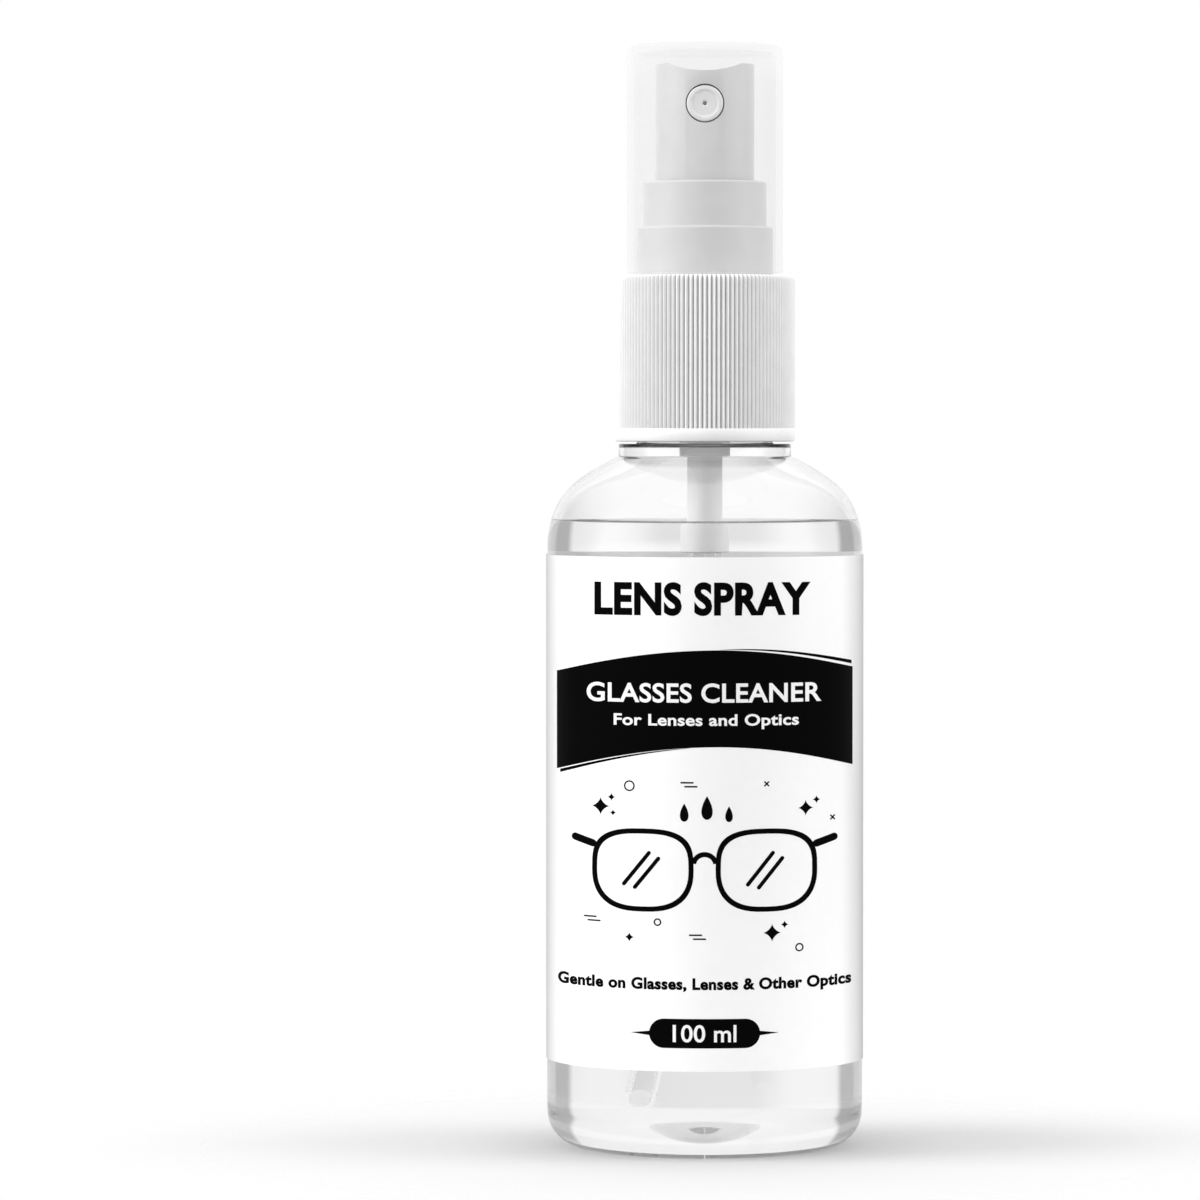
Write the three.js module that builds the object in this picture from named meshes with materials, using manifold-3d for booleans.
// A 100 ml lens cleaning spray: a clear bottle of cleaning fluid in a wrap-round label, closed by a
// screw-on fine-mist pump that stands under a clear pull-off overcap.
// Millimetres, +Z up. The bottle stands on Z = 0 with its axis on Z, and the nozzle faces -Y.
import * as THREE from "three";
import { mergeVertices } from "three/addons/utils/BufferGeometryUtils.js";
import Module from "manifold-3d";

const wasm = await Module();
wasm.setup();

// Facets round a turned piece. Wide pieces share one count, so that their nested walls stay parallel.
const SIDES = 36;
const SLIM_SIDES = 20;
// Clearance between neighbouring pieces, and how far a cutter runs past the face that it opens.
const GAP = 0.3;
const PAST = 0.5;

// Bottle
const BODY_RADIUS = 20.5;
const WALL = 0.5;
const HEEL_RADIUS = 4.8;
const PUNT_RADIUS = 13.9;
const PUNT_RISE = 2.8;
const SHOULDER_BASE = 77.6;
const SHOULDER_RISE = 12.2;
const SHOULDER_REACH = 10.4;
const COLLAR_RADIUS = 11.2;
const COLLAR_TOP = 91.4;
const FINISH_RADIUS = 8.8;
const BORE_RADIUS = 7.7;
const RIM_HEIGHT = 106.4;
const FILL_HEIGHT = 81.6;

// Label
const LABEL_BOTTOM = 11.6;
const LABEL_TOP = 77.05;
const LABEL_CLEARANCE = 0.02;
const LABEL_THICKNESS = 0.13;
const LABEL_SEAM = 0.5;

// Screw thread shared by the bottle's neck and the closure: right-handed, one and a half turns
const PITCH = 3.175;
const THREAD_TURNS = 1.5;
const THREAD_DEPTH = 1.05;
const THREAD_BURIED = 0.1;
const THREAD_ROOT_HALF = 0.95;
const THREAD_CREST_HALF = 0.35;
const THREAD_FADE_TURNS = 0.08;
const NECK_THREAD_START = 99.5;

// Closure
const CLOSURE_BOTTOM = COLLAR_TOP + GAP;
const CLOSURE_HEIGHT = 21.5;
const CLOSURE_RADIUS = 11.7;
const RIB_COUNT = 120;
const RIB_DEPTH = 0.3;
const BAND_HEIGHT = 1.7;
const ROOF_THICKNESS = 1.3;
const CLOSURE_INNER_RADIUS = 10.25;
const ROOF_HOLE_RADIUS = 9.15;
const RETAINING_BEAD = 0.9;

// Stack clamped between the bottle's rim and the closure's roof
const GASKET_THICKNESS = 1.0;
const FLANGE_RADIUS = 9.7;
const FLANGE_THICKNESS = 1.2;
const GASKET_BOTTOM = RIM_HEIGHT + GAP;
const FLANGE_BOTTOM = GASKET_BOTTOM + GASKET_THICKNESS + GAP;
const FLANGE_TOP = FLANGE_BOTTOM + FLANGE_THICKNESS;
const TURRET_BOTTOM = FLANGE_TOP + GAP;

// Pump housing, from the flange down: barrel, ball pocket and tail
const BARREL_RADIUS = 4.6;
const CHAMBER_RADIUS = 3.6;
const CHAMBER_FLOOR = 96.4;
const CAGE_RADIUS = 1.0;
const CAGE_THICKNESS = 0.8;
const POCKET_RADIUS = 1.65;
const SEAT_TOP = 93.2;
const PORT_RADIUS = 0.8;
const FOOT_RADIUS = 3.3;
const FOOT_BOTTOM = 90.1;
const TAIL_RADIUS = 2.3;
const TAIL_BOTTOM = 77.3;
const SOCKET_TOP = 91.6;
const BALL_RADIUS = 1.2;
const BALL_HEIGHT = 93.4;

// Dip tube, which sweeps off the axis towards -X so that its foot stands nearer the heel
const TUBE_RADIUS = 1.5;
const TUBE_BORE = 1.0;
const TUBE_BOTTOM = 5.0;
const TUBE_BEND_HEIGHT = 72;
const TUBE_SWEEP = 6.5;
const TUBE_STEPS = 14;
const TUBE_CUT_ANGLE = 40;
const TUBE_WELL_GAP = 1.3;

// Plunger: stem, piston and return spring
const STEM_RADIUS = 1.6;
const STEM_BORE = 0.8;
const STEM_FOOT_RADIUS = 2.5;
const STEM_FOOT_HEIGHT = 0.9;
const STEM_BOTTOM = 104.6;
const STEM_TOP = 123.5;
const STEM_BORE_FLOOR = 2.0;
const STEM_PORT_RADIUS = 0.4;
const PISTON_RADIUS = 3.4;
const PISTON_HEIGHT = 1.9;
const PISTON_WAIST_RADIUS = 2.9;
const PISTON_BOTTOM = STEM_BOTTOM + STEM_FOOT_HEIGHT + GAP;
const SPRING_RADIUS = 1.9;
const WIRE_RADIUS = 0.25;
const SPRING_TURNS = 4.5;
const SPRING_STEPS_PER_TURN = 12;

// Turret, the stepped collar that the actuator slides in
const TURRET_FLANGE_HEIGHT = 2.1;
const LOWER_TIER_RADIUS = 8.85;
const LOWER_TIER_TOP = 10.0;
const UPPER_TIER_RADIUS = 8.0;
const UPPER_TIER_TOP = 15.9;
const GUIDE_RADIUS = 6.75;
const TURRET_FLOOR = 2.6;
const PLUG_POCKET_HEIGHT = 1.1;
const PLUG_POCKET_RADIUS = 4.7;

// Actuator, measured from its lower edge
const ACTUATOR_BOTTOM = 119;
const ACTUATOR_RADIUS = 6.4;
const ACTUATOR_HEIGHT = 22;
const ACTUATOR_EDGE = 0.4;
const SKIRT_WALL = 1.0;
const SKIRT_DEPTH = 9;
const BOSS_RADIUS = 3.0;
const CHANNEL_RADIUS = 0.8;
const NOZZLE_HEIGHT = 16.3;
const NOZZLE_RADIUS = 2.65;
const NOZZLE_FLOOR = 3.6;
const FEED_DROP = 1.6;
const FEED_RADIUS = 0.5;
const POST_RADIUS = 1.0;
const POST_TIP = 5.6;
const DISH_RADIUS = 13;
const DISH_DEPTH = 1.0;
const DISH_TILT = 3;

// Nozzle insert, measured from its open back
const INSERT_RADIUS = NOZZLE_RADIUS - GAP;
const INSERT_BACK = 4.0;
const INSERT_LENGTH = 2.3;
const INSERT_RIM_WIDTH = 0.7;
const INSERT_RIM_BEVEL = 0.15;
const INSERT_FACE_DEPTH = 0.15;
const INSERT_FACE_THICKNESS = 0.25;
const ORIFICE_RADIUS = 0.25;

// Overcap
const CAP_BOTTOM = CLOSURE_BOTTOM + CLOSURE_HEIGHT + GAP;
const CAP_HEIGHT = 29.6;
const CAP_RADIUS = 10.15;
const CAP_WALL = 0.95;
const CAP_ROOF = 1.0;
const CAP_CORNER = 1.2;

const materials = {
  clearPet: new THREE.MeshStandardMaterial({
    color: 0xf3f6f7, roughness: 0.05, metalness: 0, transparent: true, opacity: 0.3,
  }),
  fluid: new THREE.MeshStandardMaterial({
    color: 0xeef1f2, roughness: 0.02, metalness: 0, transparent: true, opacity: 0.25,
  }),
  labelFilm: new THREE.MeshStandardMaterial({ color: 0xf7f7f7, roughness: 0.35, metalness: 0 }),
  whitePolypropylene: new THREE.MeshStandardMaterial({ color: 0xf0f0f0, roughness: 0.35, metalness: 0 }),
  greyPolypropylene: new THREE.MeshStandardMaterial({ color: 0xd9d9d9, roughness: 0.4, metalness: 0 }),
  naturalPolymer: new THREE.MeshStandardMaterial({ color: 0xe6e6e4, roughness: 0.45, metalness: 0 }),
  softPolymer: new THREE.MeshStandardMaterial({ color: 0xe2e4e2, roughness: 0.6, metalness: 0 }),
  stainlessSteel: new THREE.MeshStandardMaterial({ color: 0xc4c6c8, roughness: 0.25, metalness: 1 }),
  clearCap: new THREE.MeshStandardMaterial({
    color: 0xf6f6f6, roughness: 0.1, metalness: 0, transparent: true, opacity: 0.3,
  }),
};

// A three.js geometry as a manifold solid.
function solid(geometry) {
  geometry.deleteAttribute("normal");
  geometry.deleteAttribute("uv");
  const merged = mergeVertices(geometry);
  const mesh = new wasm.Mesh({
    numProp: 3,
    vertProperties: merged.attributes.position.array,
    triVerts: Uint32Array.from(merged.index.array),
  });
  return new wasm.Manifold(mesh);
}

// A named three.js mesh of a manifold solid, standing at a height on the Z axis.
function piece(name, manifold, material, height = 0) {
  const { vertProperties, triVerts } = manifold.getMesh();
  const geometry = new THREE.BufferGeometry();
  geometry.setAttribute("position", new THREE.BufferAttribute(vertProperties, 3));
  geometry.setIndex(new THREE.BufferAttribute(triVerts, 1));
  geometry.computeVertexNormals();
  const mesh = new THREE.Mesh(geometry, material);
  mesh.name = name;
  mesh.position.z = height;
  return mesh;
}

function grouped(...children) {
  const group = new THREE.Group();
  group.add(...children);
  return group;
}

// A solid of revolution about Z from [radius, height] points, listed anticlockwise: out, up and back in.
function turned(profile, sides = SIDES) {
  const points = profile.map(([radius, height]) => new THREE.Vector2(radius, height));
  return solid(new THREE.LatheGeometry(points, sides).rotateX(Math.PI / 2));
}

// A solid of revolution whose profile returns to its first point.
function turnedRing(profile, sides = SIDES) {
  return turned([...profile, profile[0]], sides);
}

// A round bar from one height to another.
function bar(radius, bottom, top, sides = SIDES) {
  return turned([[0, bottom], [radius, bottom], [radius, top], [0, top]], sides);
}

// A round bar along Y, from y = -back to y = -front, its axis at a height.
function barToFront(radius, back, front, height, sides = SLIM_SIDES) {
  const geometry = new THREE.CylinderGeometry(radius, radius, front - back, sides);
  return solid(geometry.translate(0, -(front + back) / 2, height));
}

// Points of an elliptical arc in the profile plane, angles in degrees.
function arc([radius, height], reach, rise, start, end, steps) {
  return Array.from({ length: steps + 1 }, (_, i) => {
    const angle = THREE.MathUtils.degToRad(start + ((end - start) * i) / steps);
    return [radius + reach * Math.cos(angle), height + rise * Math.sin(angle)];
  });
}

// One screw ridge wound round Z, from a root radius to a crest radius, rising a pitch a turn.
function threadRidge(root, crest, startHeight) {
  const section = new THREE.Shape([
    new THREE.Vector2(-THREAD_ROOT_HALF, 0),
    new THREE.Vector2(THREAD_ROOT_HALF, 0),
    new THREE.Vector2(THREAD_CREST_HALF, 1),
    new THREE.Vector2(-THREAD_CREST_HALF, 1),
  ]);
  const geometry = new THREE.ExtrudeGeometry(section, {
    depth: THREAD_TURNS,
    steps: THREAD_TURNS * SIDES,
    bevelEnabled: false,
  });
  const { position } = geometry.attributes;
  for (let i = 0; i < position.count; i++) {
    const turn = position.getZ(i);
    const fromEnd = Math.min(turn, THREAD_TURNS - turn);
    const fade = Math.min(1, 0.2 + fromEnd / THREAD_FADE_TURNS);
    const radius = root + (crest - root) * fade * position.getY(i);
    const angle = 2 * Math.PI * turn;
    const height = startHeight + PITCH * turn + position.getX(i);
    position.setXYZ(i, radius * Math.cos(angle), radius * Math.sin(angle), height);
  }
  return geometry;
}

// The bottle's outline from the middle of its base to its shoulder's foot, moved in by an inset.
function baseAndSide(inset) {
  const heelCentre = [BODY_RADIUS - HEEL_RADIUS, HEEL_RADIUS];
  const punt = Array.from({ length: 4 }, (_, i) => {
    const radius = (PUNT_RADIUS * i) / 4;
    return [radius, inset + PUNT_RISE * (1 - (radius / PUNT_RADIUS) ** 2)];
  });
  const heel = arc(heelCentre, HEEL_RADIUS - inset, HEEL_RADIUS - inset, -90, 0, 4);
  return [...punt, [PUNT_RADIUS, inset], ...heel];
}

// The shoulder's outline from the top of the side up to an angle, moved in by an inset.
function shoulder(inset, endAngle) {
  const centre = [BODY_RADIUS - SHOULDER_REACH, SHOULDER_BASE];
  return arc(centre, SHOULDER_REACH - inset, SHOULDER_RISE - inset, 0, endAngle, 7);
}

// The angle at which the inset shoulder has drawn in to a radius.
function shoulderAngleAt(radius, inset) {
  const inwards = radius - (BODY_RADIUS - SHOULDER_REACH);
  return THREE.MathUtils.radToDeg(Math.acos(inwards / (SHOULDER_REACH - inset)));
}

function makeBottle() {
  const innerCollar = COLLAR_RADIUS - WALL;
  const outside = [
    ...baseAndSide(0),
    ...shoulder(0, shoulderAngleAt(COLLAR_RADIUS, 0)),
    [COLLAR_RADIUS, COLLAR_TOP],
    [FINISH_RADIUS, COLLAR_TOP],
    [FINISH_RADIUS, RIM_HEIGHT - GAP],
    [FINISH_RADIUS - GAP, RIM_HEIGHT],
  ];
  const inside = [
    ...baseAndSide(WALL),
    ...shoulder(WALL, shoulderAngleAt(innerCollar, WALL)),
    [innerCollar, COLLAR_TOP - WALL],
    [BORE_RADIUS, COLLAR_TOP - WALL],
    [BORE_RADIUS, RIM_HEIGHT],
  ];
  const root = FINISH_RADIUS - THREAD_BURIED;
  const thread = threadRidge(root, FINISH_RADIUS + THREAD_DEPTH, NECK_THREAD_START);
  return turned([...outside, ...inside.reverse()]).add(solid(thread));
}

// A film wrapped round the bottle's side, its two ends a seam apart at the back.
function makeLabel() {
  const inner = BODY_RADIUS + LABEL_CLEARANCE;
  const outer = inner + LABEL_THICKNESS;
  const sleeve = turnedRing([
    [inner, LABEL_BOTTOM],
    [outer, LABEL_BOTTOM],
    [outer, LABEL_TOP],
    [inner, LABEL_TOP],
  ]);
  const seam = new THREE.BoxGeometry(LABEL_SEAM, HEEL_RADIUS, LABEL_TOP);
  return sleeve.subtract(solid(seam.translate(0, BODY_RADIUS, LABEL_TOP / 2 + PAST)));
}

// The dip tube's centre line between two heights: down the axis, then ever further out below the bend.
class TubePath extends THREE.Curve {
  constructor(top, bottom) {
    super();
    this.top = top;
    this.bottom = bottom;
  }

  getPoint(t, target = new THREE.Vector3()) {
    const height = this.top + (this.bottom - this.top) * t;
    const belowBend = Math.max(0, TUBE_BEND_HEIGHT - height) / (TUBE_BEND_HEIGHT - TUBE_BOTTOM);
    return target.set(-TUBE_SWEEP * belowBend ** 2, 0, height);
  }
}

// A round rod along the dip tube's centre line, bored if a bore is given.
function alongTube(radius, bore, top, bottom) {
  const section = new THREE.Shape().absarc(0, 0, radius, 0, 2 * Math.PI);
  if (bore) section.holes.push(new THREE.Path().absarc(0, 0, bore, 0, 2 * Math.PI));
  const rod = new THREE.ExtrudeGeometry(section, {
    curveSegments: SLIM_SIDES / 2,
    steps: TUBE_STEPS,
    extrudePath: new TubePath(top, bottom),
  });
  return solid(rod);
}

// The fill, with a well round the pump's tail and a wider one that the dip tube can rise in.
function makeFluid() {
  const inset = WALL + GAP;
  const fillAngle = THREE.MathUtils.radToDeg(
    Math.asin((FILL_HEIGHT - SHOULDER_BASE) / (SHOULDER_RISE - inset)),
  );
  const fill = turned([
    ...baseAndSide(inset),
    ...shoulder(inset, fillAngle),
    [TAIL_RADIUS + GAP, FILL_HEIGHT],
    [TAIL_RADIUS + GAP, TAIL_BOTTOM - GAP],
    [0, TAIL_BOTTOM - GAP],
  ]);
  return fill.subtract(alongTube(TUBE_RADIUS + TUBE_WELL_GAP, 0, TAIL_BOTTOM, TUBE_BOTTOM - GAP));
}

// The closure's grip: a round outline with a shallow groove between neighbouring ribs.
function ribbedGrip() {
  const outline = Array.from({ length: 2 * RIB_COUNT }, (_, i) => {
    const angle = (Math.PI * i) / RIB_COUNT;
    const radius = CLOSURE_RADIUS - (i % 2) * RIB_DEPTH;
    return new THREE.Vector2(radius * Math.cos(angle), radius * Math.sin(angle));
  });
  const grip = new THREE.ExtrudeGeometry(new THREE.Shape(outline), {
    depth: CLOSURE_HEIGHT - BAND_HEIGHT - GAP,
    bevelEnabled: false,
  });
  return solid(grip.translate(0, 0, BAND_HEIGHT));
}

// The inside of the closure, open below, with a bead under the gasket that keeps the pump in it.
function closureHollow() {
  const roof = CLOSURE_HEIGHT - ROOF_THICKNESS;
  const beadTop = GASKET_BOTTOM - GAP - CLOSURE_BOTTOM;
  return turned([
    [0, -PAST],
    [CLOSURE_INNER_RADIUS, -PAST],
    [CLOSURE_INNER_RADIUS, beadTop - 2 * RETAINING_BEAD],
    [CLOSURE_INNER_RADIUS - RETAINING_BEAD, beadTop - RETAINING_BEAD],
    [CLOSURE_INNER_RADIUS - RETAINING_BEAD, beadTop - RETAINING_BEAD / 2],
    [CLOSURE_INNER_RADIUS, beadTop],
    [CLOSURE_INNER_RADIUS, roof],
    [ROOF_HOLE_RADIUS, roof],
    [ROOF_HOLE_RADIUS, CLOSURE_HEIGHT + PAST],
    [0, CLOSURE_HEIGHT + PAST],
  ]);
}

// A ridge whose crest lies inside its root is wound inside out, so its faces are turned round.
function inwardRidge(ridge) {
  const merged = mergeVertices(ridge.deleteAttribute("normal").deleteAttribute("uv"));
  const corners = merged.index.array;
  for (let i = 0; i < corners.length; i += 3) {
    [corners[i + 1], corners[i + 2]] = [corners[i + 2], corners[i + 1]];
  }
  return solid(merged);
}

function makeClosure() {
  const coreRadius = CLOSURE_RADIUS - RIB_DEPTH - THREAD_BURIED;
  const core = turned([
    [0, 0],
    [CLOSURE_RADIUS - GAP, 0],
    [CLOSURE_RADIUS, GAP],
    [CLOSURE_RADIUS, BAND_HEIGHT],
    [coreRadius, BAND_HEIGHT],
    [coreRadius, CLOSURE_HEIGHT],
    [0, CLOSURE_HEIGHT],
  ]);
  const root = CLOSURE_INNER_RADIUS + THREAD_BURIED;
  const start = NECK_THREAD_START - PITCH / 2 - CLOSURE_BOTTOM;
  const ridge = threadRidge(root, CLOSURE_INNER_RADIUS - THREAD_DEPTH, start);
  return core.add(ribbedGrip()).subtract(closureHollow()).add(inwardRidge(ridge));
}

function makeGasket() {
  return turnedRing([
    [BARREL_RADIUS + GAP, 0],
    [FLANGE_RADIUS, 0],
    [FLANGE_RADIUS, GASKET_THICKNESS],
    [BARREL_RADIUS + GAP, GASKET_THICKNESS],
  ]);
}

function makeHousing() {
  return turnedRing([
    [TAIL_RADIUS, TAIL_BOTTOM],
    [TAIL_RADIUS, FOOT_BOTTOM],
    [FOOT_RADIUS, FOOT_BOTTOM],
    [FOOT_RADIUS, SEAT_TOP],
    [BARREL_RADIUS, CHAMBER_FLOOR - CAGE_THICKNESS],
    [BARREL_RADIUS, FLANGE_BOTTOM],
    [FLANGE_RADIUS, FLANGE_BOTTOM],
    [FLANGE_RADIUS, FLANGE_TOP],
    [CHAMBER_RADIUS, FLANGE_TOP],
    [CHAMBER_RADIUS, CHAMBER_FLOOR],
    [CAGE_RADIUS, CHAMBER_FLOOR],
    [CAGE_RADIUS, CHAMBER_FLOOR - CAGE_THICKNESS],
    [POCKET_RADIUS, CHAMBER_FLOOR - CAGE_THICKNESS],
    [POCKET_RADIUS, SEAT_TOP],
    [PORT_RADIUS, SEAT_TOP - POCKET_RADIUS + PORT_RADIUS],
    [PORT_RADIUS, SOCKET_TOP],
    [TUBE_RADIUS + GAP, SOCKET_TOP],
    [TUBE_RADIUS + GAP, TAIL_BOTTOM],
  ]);
}

// The plug in the top of the barrel that stops the piston and guides the stem.
function makeHousingPlug() {
  const bore = STEM_RADIUS + GAP;
  const flangeHeight = PLUG_POCKET_HEIGHT - GAP;
  const tubeLength = TURRET_BOTTOM - PISTON_BOTTOM - PISTON_HEIGHT - GAP;
  return turnedRing([
    [bore, -tubeLength],
    [CHAMBER_RADIUS - GAP, -tubeLength],
    [CHAMBER_RADIUS - GAP, 0],
    [PLUG_POCKET_RADIUS - GAP, 0],
    [PLUG_POCKET_RADIUS - GAP, flangeHeight],
    [bore, flangeHeight],
  ]);
}

function makeInletBall() {
  return solid(new THREE.SphereGeometry(BALL_RADIUS, 12, 8));
}

// A tube whose lower end is cut aslant, so that it can't seal against the bottle's base.
function makeDipTube() {
  const tube = alongTube(TUBE_RADIUS, TUBE_BORE, SOCKET_TOP - GAP, TUBE_BOTTOM);
  const size = 4 * TUBE_RADIUS;
  const knife = new THREE.BoxGeometry(size, size, size).translate(0, 0, -size / 2);
  knife.rotateX(THREE.MathUtils.degToRad(TUBE_CUT_ANGLE));
  return tube.subtract(solid(knife.translate(-TUBE_SWEEP, 0, TUBE_BOTTOM + TUBE_RADIUS)));
}

// The piston, waisted between its two sealing lips.
function makePiston() {
  const lip = PISTON_HEIGHT / 5;
  return turnedRing([
    [STEM_RADIUS + GAP, lip / 2],
    [PISTON_WAIST_RADIUS, lip / 2],
    [PISTON_RADIUS, 0],
    [PISTON_RADIUS, lip],
    [PISTON_WAIST_RADIUS, 2 * lip],
    [PISTON_WAIST_RADIUS, 3 * lip],
    [PISTON_RADIUS, 4 * lip],
    [PISTON_RADIUS, PISTON_HEIGHT],
    [STEM_RADIUS + GAP, PISTON_HEIGHT],
  ], SLIM_SIDES);
}

// The hollow stem: a foot that pushes the spring, and a cross port that the piston covers.
function makeStem() {
  const length = STEM_TOP - STEM_BOTTOM;
  const tube = turned([
    [0, 0],
    [STEM_FOOT_RADIUS, 0],
    [STEM_FOOT_RADIUS, STEM_FOOT_HEIGHT],
    [STEM_RADIUS, STEM_FOOT_HEIGHT],
    [STEM_RADIUS, length],
    [STEM_BORE, length],
    [STEM_BORE, STEM_BORE_FLOOR],
    [0, STEM_BORE_FLOOR],
  ], SLIM_SIDES);
  const port = new THREE.CylinderGeometry(STEM_PORT_RADIUS, STEM_PORT_RADIUS, 4 * STEM_RADIUS, 8);
  const portHeight = STEM_BORE_FLOOR + STEM_PORT_RADIUS;
  return tube.subtract(solid(port.rotateZ(Math.PI / 2).translate(0, 0, portHeight)));
}

class SpringPath extends THREE.Curve {
  constructor(rise) {
    super();
    this.rise = rise;
  }

  getPoint(t, target = new THREE.Vector3()) {
    const angle = 2 * Math.PI * SPRING_TURNS * t;
    return target.set(SPRING_RADIUS * Math.cos(angle), SPRING_RADIUS * Math.sin(angle), this.rise * t);
  }
}

function makeSpring() {
  const rise = STEM_BOTTOM - CHAMBER_FLOOR - 2 * GAP - 2 * WIRE_RADIUS;
  const wire = Array.from({ length: 6 }, (_, i) => {
    const angle = (Math.PI * i) / 3;
    return new THREE.Vector2(WIRE_RADIUS * Math.cos(angle), WIRE_RADIUS * Math.sin(angle));
  });
  const coil = new THREE.ExtrudeGeometry(new THREE.Shape(wire), {
    steps: SPRING_TURNS * SPRING_STEPS_PER_TURN,
    extrudePath: new SpringPath(rise),
  });
  return solid(coil);
}

function makeTurret() {
  const edge = GAP;
  return turnedRing([
    [PLUG_POCKET_RADIUS, 0],
    [FLANGE_RADIUS, 0],
    [FLANGE_RADIUS, TURRET_FLANGE_HEIGHT],
    [LOWER_TIER_RADIUS, TURRET_FLANGE_HEIGHT],
    [LOWER_TIER_RADIUS, LOWER_TIER_TOP - edge],
    [LOWER_TIER_RADIUS - edge, LOWER_TIER_TOP],
    [UPPER_TIER_RADIUS, LOWER_TIER_TOP],
    [UPPER_TIER_RADIUS, UPPER_TIER_TOP - edge],
    [UPPER_TIER_RADIUS - edge, UPPER_TIER_TOP],
    [GUIDE_RADIUS, UPPER_TIER_TOP],
    [GUIDE_RADIUS, TURRET_FLOOR],
    [STEM_RADIUS + 2 * GAP, TURRET_FLOOR],
    [STEM_RADIUS + 2 * GAP, PLUG_POCKET_HEIGHT],
    [PLUG_POCKET_RADIUS, PLUG_POCKET_HEIGHT],
  ]);
}

// The thumb dish: the underside of a wide cylinder laid front to back, deepest at the front.
function thumbDish() {
  const tilt = THREE.MathUtils.degToRad(DISH_TILT);
  const middleDepth = DISH_DEPTH - ACTUATOR_RADIUS * Math.tan(tilt);
  const dish = new THREE.CylinderGeometry(DISH_RADIUS, DISH_RADIUS, 4 * ACTUATOR_RADIUS, 96);
  return solid(dish.rotateX(tilt).translate(0, 0, ACTUATOR_HEIGHT + DISH_RADIUS - middleDepth));
}

// The passages in the actuator: stem socket, riser and the feed to the nozzle's recess.
function actuatorPassages() {
  const socketTop = STEM_TOP + GAP - ACTUATOR_BOTTOM;
  const feedHeight = NOZZLE_HEIGHT - FEED_DROP;
  const socket = bar(STEM_RADIUS + GAP, -PAST, socketTop, SLIM_SIDES);
  const riser = bar(CHANNEL_RADIUS, 0, feedHeight, SLIM_SIDES);
  const feed = barToFront(FEED_RADIUS, 0, NOZZLE_FLOOR + PAST, feedHeight, 12);
  return socket.add(riser).add(feed);
}

function makeActuator() {
  const button = turned([
    [0, 0],
    [ACTUATOR_RADIUS, 0],
    [ACTUATOR_RADIUS, ACTUATOR_HEIGHT - ACTUATOR_EDGE],
    [ACTUATOR_RADIUS - ACTUATOR_EDGE, ACTUATOR_HEIGHT],
    [0, ACTUATOR_HEIGHT],
  ]);
  const skirtRadius = ACTUATOR_RADIUS - SKIRT_WALL;
  const skirtHollow = turnedRing([
    [BOSS_RADIUS, -PAST],
    [skirtRadius, -PAST],
    [skirtRadius, SKIRT_DEPTH],
    [BOSS_RADIUS, SKIRT_DEPTH],
  ]);
  const recess = barToFront(NOZZLE_RADIUS, NOZZLE_FLOOR, 2 * ACTUATOR_RADIUS, NOZZLE_HEIGHT)
    .subtract(barToFront(POST_RADIUS, 0, POST_TIP, NOZZLE_HEIGHT));
  return button
    .subtract(skirtHollow)
    .subtract(thumbDish())
    .subtract(recess)
    .subtract(actuatorPassages());
}

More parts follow.
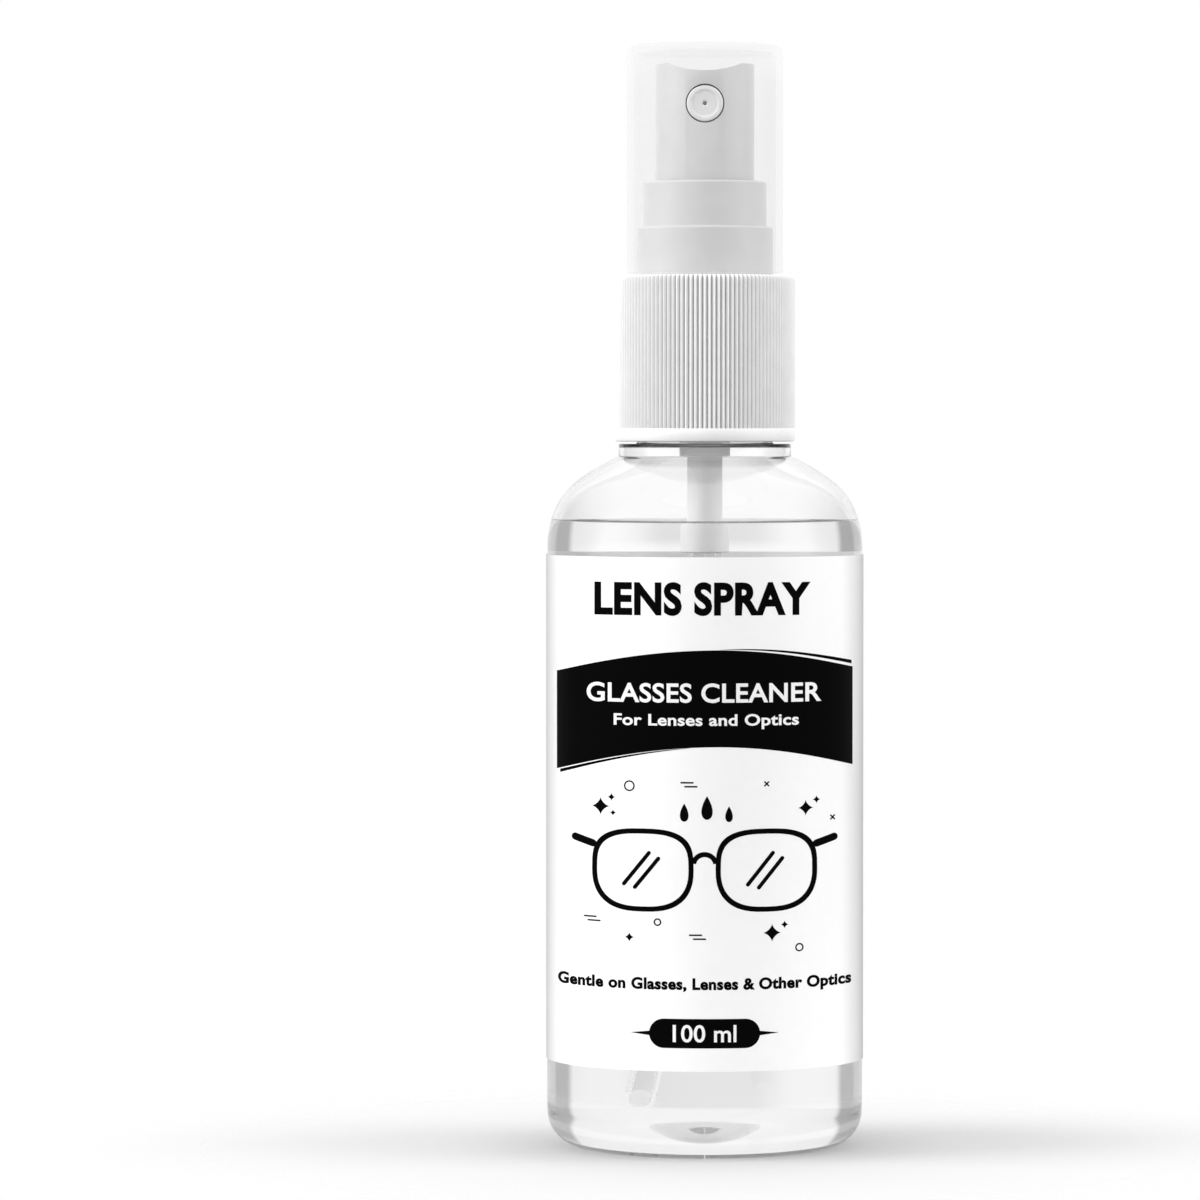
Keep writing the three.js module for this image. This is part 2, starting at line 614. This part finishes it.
// The swirl cup that is pressed over the post, its face sunk inside a low rim.
function makeNozzleInsert() {
  const cavity = POST_RADIUS + GAP;
  const face = INSERT_LENGTH - INSERT_FACE_DEPTH;
  const roof = face - INSERT_FACE_THICKNESS;
  return turnedRing([
    [cavity, 0],
    [INSERT_RADIUS, 0],
    [INSERT_RADIUS, INSERT_LENGTH - INSERT_RIM_BEVEL],
    [INSERT_RADIUS - INSERT_RIM_BEVEL, INSERT_LENGTH],
    [INSERT_RADIUS - INSERT_RIM_WIDTH, INSERT_LENGTH],
    [INSERT_RADIUS - INSERT_RIM_WIDTH, face],
    [ORIFICE_RADIUS, face],
    [ORIFICE_RADIUS, roof],
    [cavity, roof],
  ], SLIM_SIDES);
}

// The outline of a cup that stands open end down: its foot, its rounded corner and the middle of its roof.
function cupOutline(radius, top, corner) {
  const centre = [radius - corner, top - corner];
  return [[radius, 0], ...arc(centre, corner, corner, 0, 90, 4), [0, top]];
}

function makeOvercap() {
  const outside = cupOutline(CAP_RADIUS, CAP_HEIGHT, CAP_CORNER);
  const inside = cupOutline(CAP_RADIUS - CAP_WALL, CAP_HEIGHT - CAP_ROOF, CAP_CORNER / 2);
  return turnedRing([...outside, ...inside.reverse()]);
}

const filledBottle = grouped(
  piece("bottle", makeBottle(), materials.clearPet),
  piece("label", makeLabel(), materials.labelFilm),
  piece("cleaning_fluid", makeFluid(), materials.fluid),
);

const pump = grouped(
  piece("neck_gasket", makeGasket(), materials.softPolymer, GASKET_BOTTOM),
  piece("housing", makeHousing(), materials.naturalPolymer),
  piece("housing_plug", makeHousingPlug(), materials.naturalPolymer, TURRET_BOTTOM),
  piece("turret", makeTurret(), materials.greyPolypropylene, TURRET_BOTTOM),
  piece("dip_tube", makeDipTube(), materials.softPolymer),
  piece("inlet_ball", makeInletBall(), materials.stainlessSteel, BALL_HEIGHT),
  piece("return_spring", makeSpring(), materials.stainlessSteel, CHAMBER_FLOOR + GAP + WIRE_RADIUS),
  piece("piston", makePiston(), materials.softPolymer, PISTON_BOTTOM),
  piece("stem", makeStem(), materials.naturalPolymer, STEM_BOTTOM),
);

const nozzleInsert = piece("nozzle_insert", makeNozzleInsert(), materials.naturalPolymer, NOZZLE_HEIGHT);
nozzleInsert.position.y = -INSERT_BACK;
nozzleInsert.rotation.x = Math.PI / 2;
const head = grouped(piece("actuator", makeActuator(), materials.greyPolypropylene), nozzleInsert);
head.position.z = ACTUATOR_BOTTOM;

const spray = grouped(
  filledBottle,
  pump,
  head,
  piece("closure", makeClosure(), materials.whitePolypropylene, CLOSURE_BOTTOM),
  piece("overcap", makeOvercap(), materials.clearCap, CAP_BOTTOM),
);
spray.name = "lens_cleaning_spray";

export default spray;
